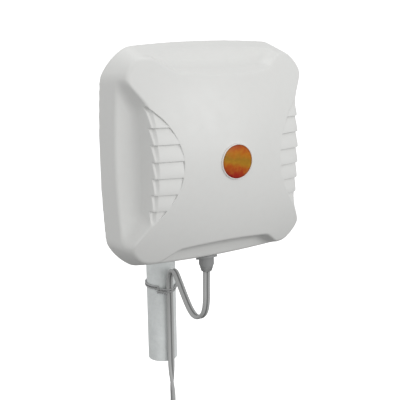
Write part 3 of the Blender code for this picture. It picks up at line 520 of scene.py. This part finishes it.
UPRIGHT = ((0.714, 0.012, 0.655, 1.15), (0.790, 0.050, 0.445, 0.937))
LEVEL = ((0.665, 0.120, 0.50, 0.97), (0.812, 0.060, 0.46, 0.84))


def body(u, v, d, inset=0.0):
    """Distance to the radome's outside without its louvres, in half-sides."""
    au, av = np.abs(u), np.abs(v)
    h = 1.0 - DRAFT * d
    c = np.maximum(CLIP - CLIP_DRAFT * d, 0.02)
    flat = h - c
    top = (av - h - BOW * (1 - np.minimum((au / flat) ** 2, 1.7))) / 1.046
    side = (au - h - BOW * (1 - np.minimum((av / flat) ** 2, 1.7))) / 1.046
    t = np.clip((au - av) / c, -1.3, 1.3)
    clip = (au + av - (flat + h + 0.165 * c * (1 - t * t))) / 1.47
    f = smax(smax(top, side, 0.03), clip, 0.020)
    tilt = np.sqrt(1 + (2 * CROWN_X * u) ** 2 + (2 * CROWN_Z * v) ** 2)
    f = smax(f, (d - face_depth(u, v)) / tilt, 0.026)
    f = f + inset
    for a, b, (face, foot) in ((av, au, UPRIGHT), (au, av, LEVEL)):
        f = smax(f, -(wall(a, b, d, face, foot) - inset), 0.020)
    return f


def louvres(u, v, d):
    """Distance to the louvre cells: below zero inside one."""
    U = np.abs(u)
    fd = face_depth(u, v)
    low_b = SHELF + SHELF_SLOPE * (SHELF_OUT - 0.77)
    t = np.clip((fd - low_b) / (FRONT - low_b), 0, 1)
    edge = (0.790 + (0.714 - 0.790) * t) + (0.050 - 0.038 * t) * np.minimum(np.abs(v), 0.56) ** 2
    inner = 0.500 + 0.96 * v * v
    best = np.full(u.shape, 1.0)
    for k in range(7):
        low = 0.4795 - 0.1445 * (k + 1)
        if k == 0:
            top = np.minimum(0.393 + (U - 0.646) * 0.941, 0.512)
            g_top = (v - top) / 1.37
        else:
            top = 0.4795 - 0.1445 * k
            g_top = v - top
        s = np.clip(((v - low) / np.maximum(top - low, 0.02) - 0.12) / 0.88, 0.0, 1.0)
        fade = np.clip((v + 0.520) / 0.05, 0, 1)
        ledge = (0.010 + 0.022 * s) * fade
        extra = ledge * np.clip((U - (edge - 0.034)) / 0.020, 0, 1)
        floor = fd - 0.0215 * s ** 1.25 - extra
        q = np.maximum(g_top, (inner - U) / 1.2)
        q = np.maximum(q, (floor - d) / 1.05)
        q = np.maximum(q, (low - 0.002 - v))
        best = np.minimum(best, q)
    return best


def outside(u, v, d):
    f = body(u, v, d)
    f = np.maximum(f, -d)
    near = (np.abs(u) > 0.47) & (np.abs(v) < 0.56) & (d > 0.30)
    if near.any():
        cut = -louvres(u[near], v[near], d[near])
        f[near] = smax(f[near], cut, 0.005)
    return f


def cavity(u, v, d):
    return np.maximum(body(u, v, np.maximum(d, 0.0), 0.046), -d - 0.04)


def surface_net(field, low, high, step, block=8):
    """A closed mesh of the field's zero surface on a lattice, evaluated only in the blocks that the surface crosses."""
    low, high = np.array(low, float), np.array(high, float)
    cells = np.ceil((high - low) / step / block).astype(int)
    bi = np.stack(np.meshgrid(*[np.arange(c) for c in cells], indexing="ij"), -1).reshape(-1, 3)
    centre = low + (bi + 0.5) * block * step
    value = field(centre[:, 0], centre[:, 1], centre[:, 2])
    bi = bi[np.abs(value) < block * step * 1.15]
    size = cells * block + 1
    off = np.stack(np.meshgrid(*[np.arange(block)] * 3, indexing="ij"), -1).reshape(-1, 3)
    cell = (bi[:, None, :] * block + off[None]).reshape(-1, 3)
    stride = np.array([size[1] * size[2], size[2], 1], np.int64)
    corner = np.stack(np.meshgrid([0, 1], [0, 1], [0, 1], indexing="ij"), -1).reshape(-1, 3)
    ids = (cell @ stride)[:, None] + (corner @ stride)[None]
    lattice, back = np.unique(ids.reshape(-1), return_inverse=True)
    ijk = np.stack([lattice // stride[0], (lattice // stride[1]) % size[1], lattice % size[2]], 1)
    at = low + ijk * step
    sample = np.empty(len(at))
    for a in range(0, len(at), 400000):
        p = at[a:a + 400000]
        sample[a:a + 400000] = field(p[:, 0], p[:, 1], p[:, 2])
    corners = sample[back].reshape(-1, 8)
    crossing = (corners.min(1) < 0) & (corners.max(1) >= 0)
    cell, corners = cell[crossing], corners[crossing]
    total, count = np.zeros((len(cell), 3)), np.zeros(len(cell))
    edges = [(0, 1), (2, 3), (4, 5), (6, 7), (0, 2), (1, 3), (4, 6), (5, 7), (0, 4), (1, 5), (2, 6), (3, 7)]
    for a, b in edges:
        fa, fb = corners[:, a], corners[:, b]
        hit = (fa < 0) != (fb < 0)
        t = np.where(hit, fa / np.where(hit, fa - fb, 1), 0)
        total += np.where(hit[:, None], corner[a] + t[:, None] * (corner[b] - corner[a]), 0)
        count += hit
    points = low + (cell + total / count[:, None]) * step
    cell_id = cell @ stride
    order = np.argsort(cell_id)
    sorted_id = cell_id[order]
    faces = []
    for axis in range(3):
        b, c = (axis + 1) % 3, (axis + 2) % 3
        end = corner[np.array([1 if i == axis else 0 for i in range(3)]) @ [4, 2, 1]]
        index = int(end @ [4, 2, 1])
        f0, f1 = corners[:, 0], corners[:, index]
        hit = (f0 < 0) != (f1 < 0)
        base = cell[hit]
        inward = (f0 < 0)[hit]
        eb, ec = np.eye(3, dtype=int)[b], np.eye(3, dtype=int)[c]
        quad = []
        ok = np.ones(len(base), bool)
        for shift in (0 * eb, -eb, -eb - ec, -ec):
            want = (base + shift) @ stride
            place = np.clip(np.searchsorted(sorted_id, want), 0, len(sorted_id) - 1)
            ok &= sorted_id[place] == want
            quad.append(order[place])
        quad = np.stack(quad, 1)[ok]
        flip = ~inward[ok]
        quad[flip] = quad[flip][:, ::-1]
        faces.append(quad)
    return points, np.vstack(faces)


def settle(points, field, passes=2, h=0.0015):
    """Moves the points onto the zero surface along the field's slope."""
    for _ in range(passes):
        f = field(points[:, 0], points[:, 1], points[:, 2])
        g = slope_of(points, field, h)
        length = np.maximum((g * g).sum(1), 0.25)
        move = -(f / length)[:, None] * g
        limit = np.linalg.norm(move, axis=1)
        move *= np.minimum(1.0, 0.004 / np.maximum(limit, 1e-9))[:, None]
        points = points + move
    return points


def slope_of(points, field, h=0.0015):
    g = np.empty_like(points)
    for k in range(3):
        step = np.zeros(3)
        step[k] = h
        a, b = points + step, points - step
        g[:, k] = (field(a[:, 0], a[:, 1], a[:, 2]) - field(b[:, 0], b[:, 1], b[:, 2])) / (2 * h)
    return g


def to_row(points):
    return np.stack([points[:, 0] * HALF, RIM_Y - points[:, 2] * HALF, PANEL_Z + points[:, 1] * HALF], axis=1)


def from_row(points):
    return np.stack([points[:, 0] / HALF, (points[:, 2] - PANEL_Z) / HALF, (RIM_Y - points[:, 1]) / HALF], axis=1)


def applied(obj):
    """The object's evaluated mesh put in place of its own, with the modifiers gone."""
    bpy.context.view_layer.update()
    graph = bpy.context.evaluated_depsgraph_get()
    mesh = bpy.data.meshes.new_from_object(obj.evaluated_get(graph))
    obj.modifiers.clear()
    obj.data = mesh
    return obj


def make_radome():
    step = 0.00068 / HALF
    points, faces = surface_net(outside, (-1.06, -1.06, -0.03), (1.06, 1.06, 0.68), step)
    points = settle(points, outside)
    shell = mesh_object("radome", to_row(points), faces, "radome")
    print("radome net", len(points), len(faces))
    thin = shell.modifiers.new("thin", "DECIMATE")
    thin.ratio = min(1.0, 165000 / (2 * len(faces)))
    applied(shell)
    hollow_points, hollow_faces = surface_net(cavity, (-1.06, -1.06, -0.10), (1.06, 1.06, 0.68), 0.0030 / HALF)
    hollow = mesh_object("radome_hollow", to_row(hollow_points), hollow_faces, "radome")
    for obj in (shell, hollow):
        bm = bmesh.new()
        bm.from_mesh(obj.data)
        bmesh.ops.recalc_face_normals(bm, faces=bm.faces)
        bm.to_mesh(obj.data)
        bm.free()
    tilt = Matrix.Rotation(-math.atan(DRAFT), 4, "X")
    hole = lathe("gland_way", [(0, 0.012), (0.0068, 0.012), (0.0068, -0.012), (0, -0.012)], (0, GLAND_Y, GLAND_TOP_Z), "radome",
                 axis=tilt @ Vector((0, 0, 1)), sides=32)
    for cutter in (hollow, hole):
        away = shell.modifiers.new(cutter.name, "BOOLEAN")
        away.operation, away.object = "DIFFERENCE", cutter
        away.solver = "MANIFOLD"
    applied(shell)
    for cutter in (hollow, hole):
        bpy.data.objects.remove(cutter, do_unlink=True)
    mesh = shell.data
    mesh.shade_smooth()
    # normals from the surface itself on the outside, and from the faces on the rim and inside
    count = len(mesh.vertices)
    co = np.empty(count * 3, np.float32)
    mesh.vertices.foreach_get("co", co)
    here = from_row(co.reshape(-1, 3).astype(float))
    off = np.abs(outside(here[:, 0], here[:, 1], here[:, 2]))
    g = slope_of(here, outside, 0.0022)
    normal = np.stack([g[:, 0], -g[:, 2], g[:, 1]], axis=1)
    normal /= np.maximum(np.linalg.norm(normal, axis=1), 1e-9)[:, None]
    good = (off < 0.004) & (here[:, 2] > 0.006)
    loops = np.empty(len(mesh.loops), np.int32)
    mesh.loops.foreach_get("vertex_index", loops)
    starts = np.empty(len(mesh.polygons), np.int32)
    totals = np.empty(len(mesh.polygons), np.int32)
    flat = np.empty(len(mesh.polygons) * 3, np.float32)
    mesh.polygons.foreach_get("loop_start", starts)
    mesh.polygons.foreach_get("loop_total", totals)
    mesh.polygons.foreach_get("normal", flat)
    flat = np.repeat(flat.reshape(-1, 3), totals, axis=0)
    corner = np.where(good[loops][:, None], normal[loops], flat)
    agree = (corner * flat).sum(1) > 0.25
    corner = np.where(agree[:, None], corner, flat)
    mesh.normals_split_custom_set(corner.astype(np.float32).tolist())
    print("radome faces", len(mesh.polygons))
    return shell


radome = make_radome()
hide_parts("front_radome")
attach(radome, "antenna")


# ------------------------------------------------------------------ badge: a domed amber disc in a pale rim, with no marks
def badge_paint():
    paint = Paint("badge_enamel", 0.30, specular=0.12)
    split = paint.tree.nodes.new("ShaderNodeSeparateXYZ")
    paint.link(paint.where, split.inputs[0])
    x = paint.math("DIVIDE", split.outputs["X"], 0.0195)
    z = paint.math("DIVIDE", paint.math("SUBTRACT", split.outputs["Z"], PANEL_Z), 0.0195)
    drift = paint.math("MULTIPLY", paint.math("SUBTRACT", paint.noise(70.0, 3.0, 0.55, 0.6), 0.5), 0.7)
    band = paint.math("ADD", paint.math("ADD", z, paint.math("MULTIPLY", x, 0.28)), drift)
    level = paint.scaled(band, 0.0, 1.0, -1.15, 1.15)
    base = paint.ramp(level, [(0.00, (0.270, 0.010, 0.012)), (0.14, (0.340, 0.018, 0.010)), (0.32, (0.430, 0.085, 0.008)),
                              (0.46, (0.400, 0.190, 0.012)), (0.58, (0.350, 0.170, 0.012)), (0.72, (0.480, 0.150, 0.008)),
                              (0.86, (0.450, 0.085, 0.010)), (1.00, (0.300, 0.035, 0.008))])
    r2 = paint.math("ADD", paint.math("MULTIPLY", x, x), paint.math("MULTIPLY", z, z))
    base = paint.mix(paint.scaled(r2, 0.0, 0.55, 0.72, 1.06), base, (0.13, 0.012, 0.008))
    base = paint.mix(paint.scaled(paint.noise(260.0, 4.0), 0.0, 0.30, 0.45, 0.75), base, (0.62, 0.30, 0.03))
    paint.color(base)
    paint.bump(paint.noise(500.0, 2.0), 0.15, 0.00002)
    return paint.mat


face_y = RIM_Y - CROWN * HALF
BADGE_R = 0.0205
dome = [(0.0, 0.00235)] + [(0.0190 * math.sin(a), 0.0008 + 0.00155 * math.cos(a)) for a in np.linspace(0.12, math.pi / 2, 12)]
badge = lathe("badge_enamel_disc", dome + [(0.0190, -0.0002), (0.0, -0.0002)], (0, face_y - 0.0002, PANEL_Z), badge_paint(),
              axis=Vector((0, -1, 0)), sides=128, smooth=60)
rim_profile = [(0.0191, -0.0003), (0.0191, 0.0009), (0.0193, 0.00125), (0.0196, 0.00135), (0.0200, 0.00120), (0.0203, 0.0008),
               (BADGE_R, 0.0002), (BADGE_R, -0.0007), (0.0197, -0.0009)]
MATS["rim"] = moulded("badge_rim", (0.82, 0.79, 0.76), 0.30, vary=0.02)
badge_rim = lathe("badge_rim_ring", rim_profile, (0, face_y - 0.0001, PANEL_Z), "rim", axis=Vector((0, -1, 0)), sides=128, closed=True, smooth=60)
for piece in (badge, badge_rim):
    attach(piece, "antenna")
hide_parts("badge_disc")


# ------------------------------------------------------------------ mast: a rolled tube with eased ends
tube_profile = [(MAST_R - 0.0004, MAST_TOP), (MAST_R, MAST_TOP - 0.0004), (MAST_R, 0.0005), (MAST_R - 0.0001, 0.0002), (MAST_R - 0.0005, 0.0),
                (MAST_R - MAST_WALL + 0.0004, 0.0), (MAST_R - MAST_WALL, 0.0004), (MAST_R - MAST_WALL, MAST_TOP)]
mast = lathe("mast_tube_fine", tube_profile, (0, 0, 0), "galv", sides=144, closed=True, smooth=40)
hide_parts("mast_tube")
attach(mast, "mast")


# ------------------------------------------------------------------ wire tie: two turns round mast and lead, ends twisted together
def circle_section(radius, sides=12):
    return [(radius * math.cos(2 * math.pi * k / sides), radius * math.sin(2 * math.pi * k / sides)) for k in range(sides)]


TIE_WIRE = 0.0012
ring = []
for k in range(181):
    share_k = k / 180
    a = 2 * math.pi * 2 * share_k + math.radians(-128)
    off = abs((math.degrees(a) + 90 + 180) % 360 - 180)
    # over the flat lead the wire runs straight from the mast's flank, across its two strands
    bulge = max(0.0, 1 - off / 44.0)
    radius = MAST_R + TIE_WIRE + 0.0002 + 0.0056 * (3 * bulge ** 2 - 2 * bulge ** 3)
    dip = -0.0016 * math.cos(a + math.pi / 2)
    ring.append((math.cos(a) * radius, math.sin(a) * radius, TIE_Z + 0.0033 * (share_k * 2 - 1) + dip))
first, last = np.array(ring[0]), np.array(ring[-1])
knot = (first + last) / 2 + np.array([-0.0030, -0.0012, -0.0034])
pig = []
for k in range(25):
    s = k / 24
    a = 2 * math.pi * 2.2 * s
    spine = knot + np.array([0.0118 * s, -0.0062 * s, -0.0030 * s + 0.0014 * math.sin(s * 3.0)])
    pig.append((spine, np.array([0.0, math.cos(a), math.sin(a)]) * TIE_WIRE * 0.95))
strand_a = [tuple(p) for p in ring[::-1]] + [tuple(c + o) for c, o in pig[2:]]
tie_path = even(catmull([tuple(p) for p in ring], 2), 0.0011)
up_axis = np.tile(np.array([0.0, 0.0, 1.0]), (len(tie_path), 1))
tie = sweep("wire_tie_turns", tie_path, circle_section(TIE_WIRE), up_axis, "wire")
twist_a = even(catmull([tuple(first), tuple((first + pig[1][0] + pig[1][1]) / 2)] + [tuple(c + o) for c, o in pig[2:]], 4), 0.0007)
twist_b = even(catmull([tuple(last), tuple((last + pig[1][0] - pig[1][1]) / 2)] + [tuple(c - o) for c, o in pig[2:]], 4), 0.0007)
twists = []
for label, line in (("a", twist_a), ("b", twist_b)):
    side_axis = np.tile(np.array([0.12, 0.25, 1.0]), (len(line), 1))
    twists.append(sweep(f"wire_tie_twist_{label}", line, circle_section(TIE_WIRE * 0.96, 10), side_axis, "wire"))
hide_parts("wire_tie")
for piece in [tie] + twists:
    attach(piece, "mast_clamp")


# ------------------------------------------------------------------ floor and light
def studio():
    depth = -4.20
    bm = bmesh.new()
    profile = [(0.0, 0.0), (1.5, 0.0), (3.0, 0.0), (4.5, 0.0)] + [(4.5 + 3.0 * math.sin(a), 3.0 - 3.0 * math.cos(a)) for a in np.linspace(0.1, math.pi / 2, 12)] + [(7.5, 8.0)]
    rings = []
    for r, z in profile:
        if r == 0:
            rings.append([bm.verts.new((0, 0, depth + z))])
        else:
            rings.append([bm.verts.new((r * math.cos(2 * math.pi * k / 64), r * math.sin(2 * math.pi * k / 64), depth + z)) for k in range(64)])
    for a, b in zip(rings, rings[1:]):
        for k in range(64):
            j = (k + 1) % 64
            if len(a) == 1:
                bm.faces.new((a[0], b[k], b[j]))
            else:
                bm.faces.new((a[k], b[k], b[j], a[j]))
    bmesh.ops.recalc_face_normals(bm, faces=bm.faces)
    bmesh.ops.reverse_faces(bm, faces=bm.faces)
    mesh = bpy.data.meshes.new("studio_floor")
    bm.to_mesh(mesh)
    bm.free()
    mesh.shade_smooth()
    floor = bpy.data.objects.new("studio_floor", mesh)
    bpy.context.scene.collection.objects.link(floor)
    paint = Paint("studio_paper", 0.9, specular=0.1)
    paint.color(paint.ramp(paint.noise(1.5, 2.0), [(0.3, (0.90, 0.90, 0.90)), (0.7, (0.93, 0.93, 0.93))]))
    paint.shader.inputs["Emission Color"].default_value = (1, 1, 1, 1)
    paint.shader.inputs["Emission Strength"].default_value = 0.75
    mesh.materials.append(paint.mat)
    # the paper is far below the object, and neither shades it nor throws light up at it
    floor.visible_diffuse = False
    floor.visible_glossy = False
    floor.visible_shadow = False

    world = bpy.data.worlds.new("studio")
    bpy.context.scene.world = world
    world.use_nodes = True
    tree = world.node_tree
    back = tree.nodes["Background"]
    where = tree.nodes.new("ShaderNodeTexCoord")
    split = tree.nodes.new("ShaderNodeSeparateXYZ")
    tree.links.new(where.outputs["Generated"], split.inputs[0])

    # an even pale surround that falls off only straight below
    level = tree.nodes.new("ShaderNodeMapRange")
    level.interpolation_type = "SMOOTHSTEP"
    level.inputs["From Min"].default_value = -0.92
    level.inputs["From Max"].default_value = -0.30
    level.inputs["To Min"].default_value = 0.02
    level.inputs["To Max"].default_value = 0.66
    tree.links.new(split.outputs["Z"], level.inputs["Value"])
    side = tree.nodes.new("ShaderNodeMath")
    side.operation = "MULTIPLY_ADD"
    tree.links.new(split.outputs["X"], side.inputs[0])
    side.inputs[1].default_value = -0.07
    side.inputs[2].default_value = 1.0
    total = tree.nodes.new("ShaderNodeMath")
    total.operation = "MULTIPLY"
    tree.links.new(level.outputs["Result"], total.inputs[0])
    tree.links.new(side.outputs[0], total.inputs[1])
    tree.links.new(total.outputs[0], back.inputs["Strength"])
    back.inputs["Color"].default_value = (1.0, 1.0, 1.0, 1.0)

    def area(name, at, look, size, power, color=(1, 1, 1)):
        data = bpy.data.lights.new(name, "AREA")
        data.shape = "RECTANGLE"
        data.size, data.size_y = size
        data.energy = power
        data.color = color
        lamp = bpy.data.objects.new(name, data)
        bpy.context.scene.collection.objects.link(lamp)
        lamp.location = at
        lamp.rotation_mode = "QUATERNION"
        lamp.rotation_quaternion = (Vector(look) - Vector(at)).to_track_quat("-Z", "Y")
        lamp.visible_camera = False
        return lamp

    area("front_box", (0.72, -2.75, 1.00), (0, -0.1, 0.3), (1.6, 1.6), 25.0)
    area("top_box", (-0.1, 0.95, 2.6), (0, -0.1, 0.3), (1.6, 1.6), 13.0)


studio()
bpy.context.scene.view_settings.view_transform = "Standard"
bpy.context.scene.view_settings.look = "None"
bpy.context.scene.view_settings.exposure = 0.0
bpy.context.scene.view_settings.gamma = 1.0
